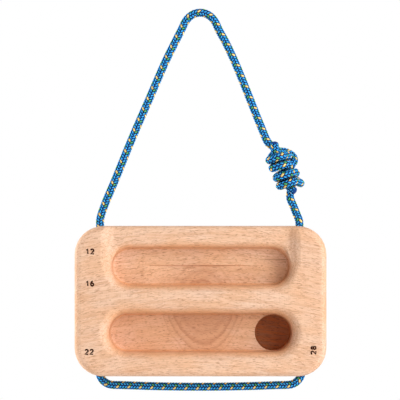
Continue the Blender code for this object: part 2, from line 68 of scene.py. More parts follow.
def make_camera():
    data = bpy.data.cameras.new("camera")
    data.sensor_width = SENSOR_WIDTH
    data.lens = SENSOR_WIDTH * VIEW_DISTANCE / VIEW_WIDTH
    data.clip_end = FARTHEST_SEEN
    camera = bpy.data.objects.new("camera", data)
    x, y, z = VIEW_CENTRE
    camera.location = (x, y - VIEW_DISTANCE, z)
    camera.rotation_euler = (radians(90), 0, 0)
    bpy.context.scene.collection.objects.link(camera)
    bpy.context.scene.camera = camera


make_camera()


# Shader nodes, added with few words

class Shader:
    """A material or world whose nodes are added one by one."""

    def __init__(self, owner):
        owner.use_nodes = True
        self.tree = owner.node_tree
        self.tree.nodes.clear()

    def add(self, kind, values=None, **settings):
        """A node; values go to its sockets by name or number, as numbers or as links."""
        node = self.tree.nodes.new("ShaderNode" + kind)
        for name, value in settings.items():
            setattr(node, name, value)
        for key, value in (values or {}).items():
            if isinstance(value, bpy.types.NodeSocket):
                self.tree.links.new(value, node.inputs[key])
            else:
                node.inputs[key].default_value = value
        return node

    def math(self, operation, *values):
        return self.add("Math", dict(enumerate(values)), operation=operation).outputs[0]

    def vector(self, operation, *values):
        return self.add("VectorMath", dict(enumerate(values)), operation=operation).outputs[0]

    def product(self, first, *others):
        """Numbers multiplied together."""
        for other in others:
            first = self.math('MULTIPLY', first, other)
        return first

    def line(self, value, slope, start):
        """A number that grows evenly with a value."""
        return self.math('MULTIPLY_ADD', value, slope, start)

    def rest(self, share):
        """What a share leaves of 1."""
        return self.math('SUBTRACT', 1.0, share)

    def distance(self, value, place):
        """How far a number is from another, to either side."""
        return self.math('ABSOLUTE', self.math('SUBTRACT', value, place))

    def ramp(self, value, low, high):
        """0 below low, 1 above high, smooth between."""
        return self.add("MapRange", {0: value, 1: low, 2: high, 3: 0.0, 4: 1.0},
                        interpolation_type='SMOOTHSTEP').outputs[0]

    def fall(self, value, low, high):
        """1 below low, 0 above high, smooth between."""
        return self.rest(self.ramp(value, low, high))

    def mix(self, share, first, second, blend='MIX'):
        """Blend two colours."""
        node = self.add("Mix", {0: share, 6: first, 7: second}, data_type='RGBA',
                        blend_type=blend)
        return node.outputs[2]

    def choose(self, test, yes, no):
        """Blend two numbers, yes where test is 1."""
        return self.add("Mix", {0: test, 2: no, 3: yes}, data_type='FLOAT').outputs[0]

    def noise(self, place, scale, detail, roughness=0.5):
        """Noise around 0.5, on a place stretched by a scale for each axis."""
        stretched = self.vector('MULTIPLY', place, scale)
        node = self.add("TexNoise", {"Vector": stretched, "Scale": 1.0, "Detail": detail,
                                     "Roughness": roughness})
        return node.outputs[0]

    def attribute(self, name):
        """A number that the mesh carries at each of its points."""
        return self.add("Attribute", attribute_name=name).outputs["Fac"]

    def looked_at(self):
        """1 where the camera looks, straight, in a reflection or through glass."""
        rays = self.add("LightPath").outputs
        indirect = self.math('MAXIMUM', rays["Is Glossy Ray"], rays["Is Transmission Ray"])
        return self.math('MAXIMUM', rays["Is Camera Ray"], indirect)

    def surface(self, colour, bump=None, **looks):
        """The one surface of a material; looks are its fixed sockets, with _ for a space."""
        sockets = {name.replace("_", " "): value for name, value in looks.items()}
        if bump:
            sockets["Normal"] = bump.outputs[0]
        node = self.add("BsdfPrincipled", {"Base Color": colour, **sockets})
        self.add("OutputMaterial", {0: node.outputs[0]})


# The cord's route, from the tip of the upper tail round to the tip of the lower one

# How far the cord lies outside the holes' middle lines where it leaves the top mouths
LEFT_MOUTH_OUT = 0.0
RIGHT_MOUTH_OUT = -0.0012

# Places (x, z) that the loop passes through, up the left leg and then down the right one
LEFT_LEG = ((-0.0702, -0.1408), (-0.0692, -0.1373), (-0.0680, -0.1340), (-0.0658, -0.1282),
            (-0.0600, -0.1146), (-0.0486, -0.0866), (-0.0364, -0.0585), (-0.0244, -0.0310),
            (-0.0172, -0.0165), (-0.0129, -0.0080), (-0.0106, -0.0033), (-0.0078, 0.00005),
            (-0.0042, 0.00225), (-0.0002, 0.0030))
RIGHT_LEG = ((0.0038, 0.00225), (0.0074, 0.00005), (0.0102, -0.0033), (0.0129, -0.0090),
             (0.0180, -0.0184), (0.0246, -0.0326), (0.0330, -0.0532))
LEG_UP_FROM_KNOT = (0.043, 0.037)

# Places (x, y, z) from the knot down to the right mouth
LEG_BELOW_KNOT = ((0.0660, 0.0016, -0.1345), (0.0677, 0.0009, -0.1389),
                  (0.0688, 0.0002, -0.1415))

# The run below the block: how far outside a hole's middle line, at depths below the swing axis
RIGHT_TOP_IN_HOLE = (-0.0010, -0.0006, -0.0001)
LEFT_TOP_IN_HOLE = (0.0, 0.0, 0.0002)
TOP_IN_HOLE_DEPTHS = (0.0033, 0.0065, 0.0120)
OUT_IN_HOLE = 0.0004
OUT_IN_HOLE_FROM = 0.0200
BEND_ABOVE_BOTTOM = 0.0030
STRAIGHT_ABOVE_BEND = 0.0120
UNDER_BEND_RADIUS = 0.0095
UNDER_BEND_TURNS = (22, 45, 68, 86)
UNDER_SAG = 0.0014
SAG_REACH = 0.060
SAG_PLACES = (0.054, 0.036, 0.018, 0.0, -0.018, -0.036, -0.054)

# The knot in its own frame: across it, toward its back, and up it
KNOT_CENTRE = (0.05857, -0.10723)
KNOT_LEAN = radians(22.2)
KNOT_TURN = radians(-25)
STRAND_LEFT_OF_KNOT = 0.0038
WRAP_RADIUS = 0.00265
CORE_HALF_DEPTH = 0.0036
WRAP_DISTANCE = 0.00545
WRAP_PITCH = 0.0060
WRAP_START = -0.01045
FRONT_EVENNESS = 0.8
FLATNESS_OF_SIDES = 3
WRAP_FROM = 10
WRAP_TO = 500

# Places (across, back, up, cord radius) of one strand through the knot, before and after its wraps
UPPER_ENTRY = ((-0.0038, 0, 0.0310, 0.0030), (-0.0038, 0, 0.0250, 0.0030),
               (-0.0034, 0.0004, 0.0215, 0.0029), (-0.0020, 0.0016, 0.0182, 0.0027),
               (-0.0006, 0.0029, 0.0150, 0.00225), (-0.0001, 0.0035, 0.0120, 0.0022))
LOWER_ENTRY = ((0.0038, 0, 0.0250, 0.0030), (0.0038, 0, 0.0205, 0.0030),
               (0.0031, 0.0007, 0.0176, 0.0028), (0.0016, 0.0021, 0.0146, 0.0024),
               (0.0003, 0.0034, 0.0118, 0.0022))
BEFORE_WRAPS = ((0, 0.0036, 0.0085, 0.0022), (-0.0001, 0.0037, 0.0056, 0.0022),
                (-0.0004, 0.0040, 0.0038, 0.00195), (-0.0011, 0.0049, 0.0021, 0.0018),
                (-0.0027, 0.0069, -0.0002, 0.0020), (-0.0037, 0.0096, -0.0018, 0.00235),
                (-0.0041, 0.0124, -0.0029, 0.00255), (-0.0038, 0.0146, -0.0054, 0.00265),
                (-0.0021, 0.0151, -0.0086, 0.00265), (0.0006, 0.0134, -0.0116, 0.00265),
                (0.0033, 0.0099, -0.0131, 0.00265), (0.0051, 0.0058, -0.0128, 0.00265),
                (0.0056, 0.0016, -0.0118, 0.00265))
AFTER_WRAPS = ((-0.0055, -0.0046, -0.0030, 0.00245), (-0.00545, -0.0024, -0.0027, 0.0022),
               (-0.00465, -0.0005, -0.0022, 0.0020), (-0.00275, 0.0003, -0.0021, 0.0020),
               (-0.0009, -0.0005, -0.0030, 0.0020), (-0.00015, -0.0023, -0.0047, 0.0021),
               (0, -0.0034, -0.0070, 0.0022))
LOWER_TAIL = ((0, -0.0036, -0.0110, 0.00225), (0.0006, -0.0037, -0.0130, 0.0024),
              (0.0020, -0.0039, -0.0152, 0.0028), (0.0039, -0.0041, -0.0176, 0.0030))
UPPER_TAIL = ((0, -0.0036, -0.0110, 0.00225), (-0.0005, -0.0038, -0.0140, 0.0025),
              (-0.0017, -0.0040, -0.0170, 0.0029), (-0.0034, -0.0038, -0.0208, 0.0030))
POINTS_PER_TURN = 24
POINTS_PER_PIECE = 24


def from_knot(across, back, up):
    """A place in the row frame from one in the knot's own frame."""
    turned_across = across * cos(KNOT_TURN) - back * sin(KNOT_TURN)
    turned_back = across * sin(KNOT_TURN) + back * cos(KNOT_TURN)
    x = KNOT_CENTRE[0] - up * sin(KNOT_LEAN) + turned_across * cos(KNOT_LEAN)
    z = KNOT_CENTRE[1] + up * cos(KNOT_LEAN) + turned_across * sin(KNOT_LEAN)
    return (x, turned_back, z)


def wrap_point(turned):
    """A place of the winding after turning so many degrees, level across the front."""
    angle = radians(-turned)
    stretch = max(-1.0, min(1.0, FLATNESS_OF_SIDES * sin(angle)))
    climb = turned + FRONT_EVENNESS * degrees(cos(angle) - 1)
    return (WRAP_DISTANCE * cos(angle),
            WRAP_DISTANCE * sin(angle) + CORE_HALF_DEPTH * stretch,
            WRAP_START + WRAP_PITCH * climb / 360, WRAP_RADIUS)


def knot_strand(entry, tail, side):
    """In through the other half of the knot, over its own wraps, round, and out as a tail."""
    steps = round(POINTS_PER_TURN * (WRAP_TO - WRAP_FROM) / 360)
    wraps = tuple(wrap_point(WRAP_FROM + (WRAP_TO - WRAP_FROM) * k / steps)
                  for k in range(steps + 1))
    route = entry + BEFORE_WRAPS + wraps + AFTER_WRAPS + tail
    return [(*from_knot(side * a, b, side * u), r) for a, b, u, r in route]


def down_one_hole(top_in_hole):
    """Places (distance out, z) from the swing axis down a hole and through the bend below it."""
    places = [(HOLE_SPACING / 2 + out, -depth)
              for out, depth in zip(top_in_hole, TOP_IN_HOLE_DEPTHS)]
    straight = HOLE_SPACING / 2 + OUT_IN_HOLE
    bend_start = BLOCK_BOTTOM + BEND_ABOVE_BOTTOM
    places += [(straight, -OUT_IN_HOLE_FROM), (straight, (BLOCK_TOP + BLOCK_BOTTOM) / 2),
               (straight, bend_start + STRAIGHT_ABOVE_BEND), (straight, bend_start)]
    for turn in UNDER_BEND_TURNS:
        angle = radians(turn)
        places.append((straight - UNDER_BEND_RADIUS * (1 - cos(angle)),
                       bend_start - UNDER_BEND_RADIUS * sin(angle)))
    return places


def underside():
    """Down the right hole, across below the block and up the left hole."""
    right = down_one_hole(RIGHT_TOP_IN_HOLE)
    left = [(-out, z) for out, z in reversed(down_one_hole(LEFT_TOP_IN_HOLE))]
    lowest = right[-1][1]
    middle = [(x, lowest - UNDER_SAG * (1 - (x / SAG_REACH) ** 2)) for x in SAG_PLACES]
    return [(x, 0, TILT_AXIS_Z + z, CORD_RADIUS) for x, z in right + middle + left]


def whole_route():
    """Every chosen place of the cord, as x, y, z and radius."""
    start = knot_strand(LOWER_ENTRY, UPPER_TAIL, -1)[::-1]
    leg = [(*place, CORD_RADIUS) for place in LEG_BELOW_KNOT]
    leg.append((HOLE_SPACING / 2 + RIGHT_MOUTH_OUT, 0, TILT_AXIS_Z, CORD_RADIUS))
    loop = [(-HOLE_SPACING / 2 - LEFT_MOUTH_OUT, 0, TILT_AXIS_Z, CORD_RADIUS)]
    loop += [(x, 0, z, CORD_RADIUS) for x, z in LEFT_LEG + RIGHT_LEG]
    loop += [(*from_knot(-STRAND_LEFT_OF_KNOT, 0, up), CORD_RADIUS) for up in LEG_UP_FROM_KNOT]
    end = knot_strand(UPPER_ENTRY, LOWER_TAIL, 1)
    return np.array(start + leg + underside() + loop + end)


def smooth(route, spacing):
    """Evenly spaced points on a centripetal Catmull-Rom curve through a route."""
    padded = np.vstack([2 * route[0] - route[1], route, 2 * route[-1] - route[-2]])
    share = np.linspace(0, 1, POINTS_PER_PIECE, endpoint=False)[:, None]
    fine = []
    for p0, p1, p2, p3 in zip(padded, padded[1:], padded[2:], padded[3:]):
        t1 = np.linalg.norm((p1 - p0)[:3]) ** 0.5
        t2 = t1 + np.linalg.norm((p2 - p1)[:3]) ** 0.5
        t3 = t2 + np.linalg.norm((p3 - p2)[:3]) ** 0.5
        t = t1 + (t2 - t1) * share
        a1 = p0 + (p1 - p0) * t / t1
        a2 = p1 + (p2 - p1) * (t - t1) / (t2 - t1)
        a3 = p2 + (p3 - p2) * (t - t2) / (t3 - t2)
        b1 = a1 + (a2 - a1) * t / t2
        b2 = a2 + (a3 - a2) * (t - t1) / (t3 - t1)
        piece = b1 + (b2 - b1) * (t - t1) / (t2 - t1)
        piece[:, 3:] = p1[3] + (p2[3] - p1[3]) * share
        fine.append(piece)
    fine = np.vstack(fine + [route[-1:]])
    steps = np.linalg.norm(np.diff(fine[:, :3], axis=0), axis=1)
    travelled = np.concatenate([[0], np.cumsum(steps)])
    count = round(travelled[-1] / spacing) + 1
    wanted = np.linspace(0, travelled[-1], count)
    points = np.stack([np.interp(wanted, travelled, fine[:, k]) for k in range(4)], 1)
    return points, wanted


# The braided sheath: eight strands each way, over two and under two

STRANDS = 8
BRAID_LAY = 0.016
FIRST_STRAND_AT = radians(12)
STRAND_RELIEF = 0.00050
LOWEST_CROWN = 0.45
RING_SPACING = 0.00047
SIDES = 48

# How much of the source's thinning inside the knot the fine cord takes
PRESSED_SHARE = 0.15

# The tails are melted shut: how long the melted end is, and how far it closes
SEALED_END = 0.0022
END_CLOSES = 0.93

# A groove lies between two turns of the knot: how far apart they are along the cord at least,
# how near their middle lines lie, and how wide the groove is
NEXT_TURN_AFTER = 0.011
NEAR_TURN = 3 * CORD_RADIUS
GROOVE_WIDTH = 0.0021


def braid_height(around, along):
    """Height of the braid from 0 to 1, around in turns and along in lays."""
    a = STRANDS * (around + along)
    b = STRANDS * (around - along)
    step = np.mod(np.floor(a) + np.floor(b), 4)
    first_on_top = step < 2
    across = np.where(first_on_top, a, b) % 1.0
    run = np.where(first_on_top, step + b % 1.0, step - 2 + a % 1.0) / 2
    crown = 1 - (2 * across - 1) ** 2
    return crown * (LOWEST_CROWN + (1 - LOWEST_CROWN) * np.sin(pi * run))


def turning_frames(centre):
    """Two directions square to the line at each point, carried along without twist."""
    tangent = np.gradient(centre, axis=0)
    tangent /= np.linalg.norm(tangent, axis=1)[:, None]
    side = np.cross(tangent[0], (0, 1, 0))
    sides = []
    for direction in tangent:
        side = side - direction * side.dot(direction)
        side = side / np.linalg.norm(side)
        sides.append(side)
    sides = np.array(sides)
    return sides, np.cross(tangent, sides)


def grooves(centre, radius, spots):
    """How deep each place lies in the groove toward another turn of the cord, from 0 to 1."""
    apart = round(NEXT_TURN_AFTER / RING_SPACING)
    index = np.arange(len(centre))
    depth = np.zeros(spots.shape[:2])
    for i, places in enumerate(spots):
        near = np.linalg.norm(centre - centre[i], axis=1) < NEAR_TURN
        near &= np.abs(index - i) > apart
        if near.any():
            gap = np.linalg.norm(places[:, None] - centre[near], axis=2) - radius[near]
            depth[i] = np.clip(1 - gap.min(axis=1) / GROOVE_WIDTH, 0, 1)
    return depth


def ring_corners(centre, radius, open_share, turns, lays):
    """The corners of every ring, with the braid's relief and with closed ends."""
    first, second = turning_frames(centre)
    taper = np.sqrt(1 - (1 - open_share) ** 2 * END_CLOSES)
    height = braid_height(turns[None, :], lays[:, None])
    fall = STRAND_RELIEF * (1 - height) * open_share[:, None]
    reach = (radius[:, None] - fall) * taper[:, None]
    angle = 2 * pi * turns + FIRST_STRAND_AT
    return centre[:, None, :] + reach[:, :, None] * (
        np.cos(angle)[None, :, None] * first[:, None, :]
        + np.sin(angle)[None, :, None] * second[:, None, :])


def tube_faces(turns, lays):
    """Faces between the rings and over both ends, and each corner's place on the braid."""
    faces = []
    coords = []
    for i in range(len(lays) - 1):
        row = i * SIDES
        for j in range(SIDES):
            k = (j + 1) % SIDES
            faces.append((row + j, row + k, row + SIDES + k, row + SIDES + j))
            near = turns[j]
            far = near + 1 / SIDES
            coords += [(near, lays[i]), (far, lays[i]), (far, lays[i + 1]), (near, lays[i + 1])]
    head = len(lays) * SIDES
    last = head - SIDES
    for j in range(SIDES):
        k = (j + 1) % SIDES
        faces.append((head, k, j))
        faces.append((head + 1, last + j, last + k))
        coords += [(turns[j], 0.0)] * 3 + [(turns[j], lays[-1])] * 3
    return faces, coords


def set_attribute(mesh, name, on_rings, at_tips):
    """Give each corner of the rings its own number, and the two tips another."""
    values = np.append(on_rings, [at_tips, at_tips]).astype(np.float32)
    mesh.attributes.new(name, "FLOAT", "POINT").data.foreach_set("value", values)


def cord_mesh(centre, radius, along):
    turns = np.arange(SIDES) / SIDES
    lays = along / BRAID_LAY
    open_share = np.clip(np.minimum(along, along[-1] - along) / SEALED_END, 0, 1)
    spots = ring_corners(centre, radius, open_share, turns, lays)
    vertices = np.vstack([spots.reshape(-1, 3), centre[:1], centre[-1:]])
    faces, coords = tube_faces(turns, lays)
    mesh = bpy.data.meshes.new("braided_cord")
    mesh.from_pydata(vertices.tolist(), [], faces)
    layer = mesh.uv_layers.new(name="braid")
    layer.uv.foreach_set("vector", np.array(coords, np.float32).ravel())
    set_attribute(mesh, "sealed", np.repeat(1 - open_share, SIDES), 1)
    set_attribute(mesh, "groove", grooves(centre, radius, spots), 0)
    mesh.shade_smooth()
    return mesh


def make_cord(material):
    points, along = smooth(whole_route(), RING_SPACING)
    centre = points[:, :3]
    radius = CORD_RADIUS - PRESSED_SHARE * (CORD_RADIUS - points[:, 3])
    mesh = cord_mesh(centre, radius, along)
    mesh.materials.append(material)
    cord = bpy.data.objects.new("braided_cord", mesh)
    bpy.context.scene.collection.objects.link(cord)
    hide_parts("cord_upper_loop", "knot_lower_barrel", "knot_upper_barrel",
                "cord_right_leg", "cord_underside_run")
    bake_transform(cord)


# Each strand's painted shade in its groove, its own colour on its body, its painted highlight on
# its top, and the lift of the full top
BLUE_STRAND_SHADE_AND_HIGHLIGHT = ((0.000, 0.001, 0.008, 1), (0.000, 0.105, 0.52, 1), (0.05, 0.51, 1.0, 1), 1.0)
GOLD_STRAND_SHADE_AND_HIGHLIGHT = ((0.060, 0.014, 0.001, 1), (0.80, 0.350, 0.04, 1), (1.0, 0.80, 0.30, 1), 0.4)
GREEN_STRAND_SHADE_AND_HIGHLIGHT = ((0.000, 0.001, 0.003, 1), (0.001, 0.080, 0.09, 1), (0.10, 0.50, 0.20, 1), 0.8)
MELTED_END = (0.002, 0.045, 0.22, 1)
# Painted shade in the grooves between turns of the knot, and how strongly it covers there at most
DEEP_GROOVE_SHADE = (0.000, 0.003, 0.014, 1)
DEEP_GROOVE_SHADE_SHARE = 0.85

# The colours repeat after so many strands: the first is gold one way, the third green the other
STRANDS_PER_REPEAT = 4.0
GREEN_PLACE = 2.0

# A strand is painted lighter, as shade and highlight, with its height across it and along it,
# between these heights
CROWN_EDGES = (0.10, 0.90)
RISE_EDGES = (0.15, 0.95)

# The share of its full lift at which a strand shows its body's colour
BODY_LIFT = 0.45

# The shares at which the melted end and the painted shade in the deep grooves begin to show, and
# are full
MELTED_EDGES = (0.15, 0.60)
DEEP_EDGES = (0.05, 0.85)

# Each strand is a flat bundle of filaments, lower between them and painted with shade there
FILAMENTS = 4
FILAMENT_SHADE = 0.14
FILAMENT_BUMP = 0.35
FILAMENT_HEIGHT = 0.0002


def strand_colour_and_painted_light(s, lift, groove, body, top, full):
    """One strand's colour, from painted shade in its groove over its own colour on its body to a
    painted highlight on its top.
    """
    low = s.mix(s.ramp(lift, 0.0, BODY_LIFT * full), groove, body)
    return s.mix(s.ramp(lift, BODY_LIFT * full, full), low, top)


def cord_material():
    """Blue strands, with one in four gold one way and one in four green the other way."""
    material = bpy.data.materials.new("braided_sheath")
    s = Shader(material)
    braid = s.add("UVMap", uv_map="braid").outputs[0]
    around, along, _ = s.add("SeparateXYZ", {0: braid}).outputs
    a = s.product(s.math('ADD', around, along), float(STRANDS))
    b = s.product(s.math('SUBTRACT', around, along), float(STRANDS))
    whole_a = s.math('FLOOR', a)
    whole_b = s.math('FLOOR', b)
    part_a = s.math('FRACT', a)
    part_b = s.math('FRACT', b)
    step = s.math('FLOORED_MODULO', s.math('ADD', whole_a, whole_b), 4.0)
    first = s.math('LESS_THAN', step, 1.5)
    across = s.choose(first, part_a, part_b)
    strand = s.choose(first, whole_a, whole_b)
    run = s.choose(first, s.math('ADD', step, part_b),
                   s.math('ADD', s.math('SUBTRACT', step, 2.0), part_a))
    from_middle = s.math('ABSOLUTE', s.line(across, 2.0, -1.0))
    crown = s.rest(s.math('POWER', from_middle, 2.0))
    rise = s.math('SINE', s.product(run, pi / 2))
    lift = s.product(s.ramp(crown, *CROWN_EDGES), s.ramp(rise, *RISE_EDGES))
    place = s.math('FLOORED_MODULO', strand, STRANDS_PER_REPEAT)
    gold = s.product(first, s.math('LESS_THAN', place, 0.5))
    green = s.product(s.rest(first), s.math('COMPARE', place, GREEN_PLACE, 0.1))
    # Each strand is painted darker toward its grooves as shade and lighter on its top as a
    # highlight
    colour = strand_colour_and_painted_light(s, lift, *BLUE_STRAND_SHADE_AND_HIGHLIGHT)
    colour = s.mix(green, colour, strand_colour_and_painted_light(s, lift, *GREEN_STRAND_SHADE_AND_HIGHLIGHT))
    colour = s.mix(gold, colour, strand_colour_and_painted_light(s, lift, *GOLD_STRAND_SHADE_AND_HIGHLIGHT))
    # Painted shade between the filaments of each strand
    bundle = s.line(s.math('SINE', s.product(across, 2 * pi * FILAMENTS)), 0.5, 0.5)
    shade = s.line(bundle, FILAMENT_SHADE, 1 - FILAMENT_SHADE)
    grey = s.add("CombineColor", {0: shade, 1: shade, 2: shade}).outputs[0]
    colour = s.mix(1.0, colour, grey, 'MULTIPLY')
    colour = s.mix(s.ramp(s.attribute("sealed"), *MELTED_EDGES), colour, MELTED_END)
    # Painted shade in the grooves between turns of the knot
    groove_shade = s.ramp(s.attribute("groove"), *DEEP_EDGES)
    colour = s.mix(s.product(groove_shade, DEEP_GROOVE_SHADE_SHARE), colour, DEEP_GROOVE_SHADE)
    bump = s.add("Bump", {"Strength": FILAMENT_BUMP, "Distance": FILAMENT_HEIGHT,
                          "Height": bundle})
    s.surface(colour, bump, Roughness=0.65, Specular_IOR_Level=0.2)
    return material


make_cord(cord_material())


# Beech, with the grain along X and the heart of the tree behind the bar between the pockets

# Where the heart's line passes, and how fast the years round it narrow toward both ends
HEART_AT = (0.0015, 0.014, -0.203)
RINGS_NARROW = 24.0

# How much the flat years on the back and the grain bow over the block's length
BACK_YEARS_BOW = 3.0
GRAIN_BOW = 1.3

# How far the years wander in y and in z, and how often to the metre along each axis
WANDER_Y = (0.010, (14.0, 34.0, 34.0))
WANDER_Z = (0.012, (24.0, 30.0, 30.0))
WANDER_DETAIL = 3.0

# Years to the metre, and where in a year its dark part starts, is darkest and ends
RING_YEARS = (230.0, 0.30, 0.90)
BACK_YEARS = (140.0, 0.30, 0.90)
LEVEL_YEARS = (620.0, 0.20, 0.80)
YEAR_ENDS = 1.0

# Noise from ring to ring makes some years strong: its scale and detail, and where it begins
STRONG_YEARS = ((260.0, 1.0, 1.0), 1.0)
STRONG_YEAR_EDGES = (0.34, 0.58)

# Figure: cells to the metre along and across the grain, detail, and roughness where it differs
BROAD_TONE = (9.0, 90.0, 3.0)
PATCHES = (38.0, 70.0, 2.0)
STREAKS = (45.0, 700.0, 3.0, 0.6)
THREADS = (110.0, 1500.0, 2.0, 0.6)
FLECKS = (330.0, 2300.0, 1.0)
LONG_FLECKS = (150.0, 1700.0, 2.0)

# Each part of the figure comes in between two values of its noise; the pale patch goes
TONE_EDGES = (0.3, 0.7)
WARM_PATCH_EDGES = (0.46, 0.70)
PALE_PATCH_EDGES = (0.30, 0.54)
STREAK_EDGES = (0.42, 0.72)
FLECK_EDGES = (0.60, 0.66)
LONG_FLECK_EDGES = (0.62, 0.69)

# The openings lie inside these limits: to both sides, from their middle height, and toward the back
OPENINGS_X = (0.071, 0.073)
OPENINGS_MIDDLE_Z = -0.1985
OPENINGS_Z = (0.0465, 0.0500)
OPENINGS_Y = (0.0190, 0.0220)

# Depths behind the front between which each of these comes in
ROUTED_DEPTHS = (0.003, 0.010)
BORED_DEPTHS = (0.022, 0.026)
LEVEL_YEAR_DEPTHS = (0.0004, 0.0012)
LIP_DEPTHS = (0.0005, 0.0030)
POCKET_END_DEPTHS = (0.007, 0.013)

# Where the back comes in along y, and the level years along x
BACK_Y = (0.000, 0.012)
LEVEL_YEARS_X = (0.044, 0.062)

# Distances from the heart at which the darker wood and the stronger years fade out
HEARTWOOD_REACH = (0.026, 0.050)
STRONG_RINGS_REACH = (0.034, 0.049)

# How squarely a face looks sideways, or up or down for the lips, as each of these comes in
END_FACING = (0.70, 0.97)
POCKET_END_FACING = (0.30, 0.85)
LIP_FACING = (0.25, 0.70)

# One dark pore line in the upper pocket: its height, half its width, and its two ends in x
PORE_LINE_Z = -0.1701
PORE_LINE_WIDTH = (0.0001, 0.0007)
PORE_LINE_START = (0.040, 0.048)
PORE_LINE_END = (0.058, 0.064)

# Two tones each of the wood on the open faces and of the wood inside the openings, painted darker
# there as shade in the recesses
OPEN_FACE_TONES = ((0.92, 0.628, 0.445, 1), (0.90, 0.560, 0.360, 1))
RECESS_SHADED_TONES = ((0.87, 0.545, 0.345, 1), (0.79, 0.450, 0.260, 1))

# Colours laid over them in this order, and how strongly; 1.0 where shares below say it
WARM_PATCH = ((0.90, 0.500, 0.270, 1), 0.42)
PALE_PATCH = ((0.96, 0.680, 0.520, 1), 0.35)
# Painted shade in the finger hole's bore
BORE_SHADE = ((0.84, 0.300, 0.075, 1), 1.0)
HEARTWOOD = ((0.60, 0.270, 0.135, 1), 0.55)
BACK_YEAR = ((0.55, 0.240, 0.110, 1), 0.22)
LEVEL_YEAR = ((0.50, 0.200, 0.090, 1), 0.22)
RING_YEAR = ((0.50, 0.200, 0.090, 1), 1.0)
# Painted shade on the lips that face up and down
LIP_SHADE = ((0.84, 0.385, 0.145, 1), 0.42)
# End grain, and painted shade at the pockets' ends
END_GRAIN_AND_SHADE = ((0.42, 0.150, 0.050, 1), 1.0)
PORE_LINE = ((0.30, 0.090, 0.030, 1), 0.6)
STREAK = ((0.66, 0.330, 0.170, 1), 1.0)
THREAD = ((0.66, 0.320, 0.165, 1), 0.42)
FLECK = ((0.38, 0.125, 0.040, 1), 1.0)

# How strongly the rings show: everywhere, more near the heart, and more on the ends
RING_SHARE = 0.09
RING_SHARE_NEAR_HEART = 0.56
RING_SHARE_ON_ENDS = 0.20

# How strongly end grain darkens the block's ends, and end grain with painted shade the pockets'
# ends
OUTER_END_SHARE = 0.08
POCKET_END_SHADE_SHARE = 0.50

# How strongly streaks and flecks show on the sanded faces, and how much more on the cut ones
STREAK_SHARE = 0.46
STREAK_SHARE_MORE = 0.14
FLECK_SHARE = 0.48
LONG_FLECK_SHARE = 0.42
FLECKS_SANDED = 1.05
FLECKS_CUT_MORE = 0.35

# Relief of the fine figure
FLECK_PIT = 1.5
GRAIN_BUMP = 0.15
GRAIN_HEIGHT = 0.0002


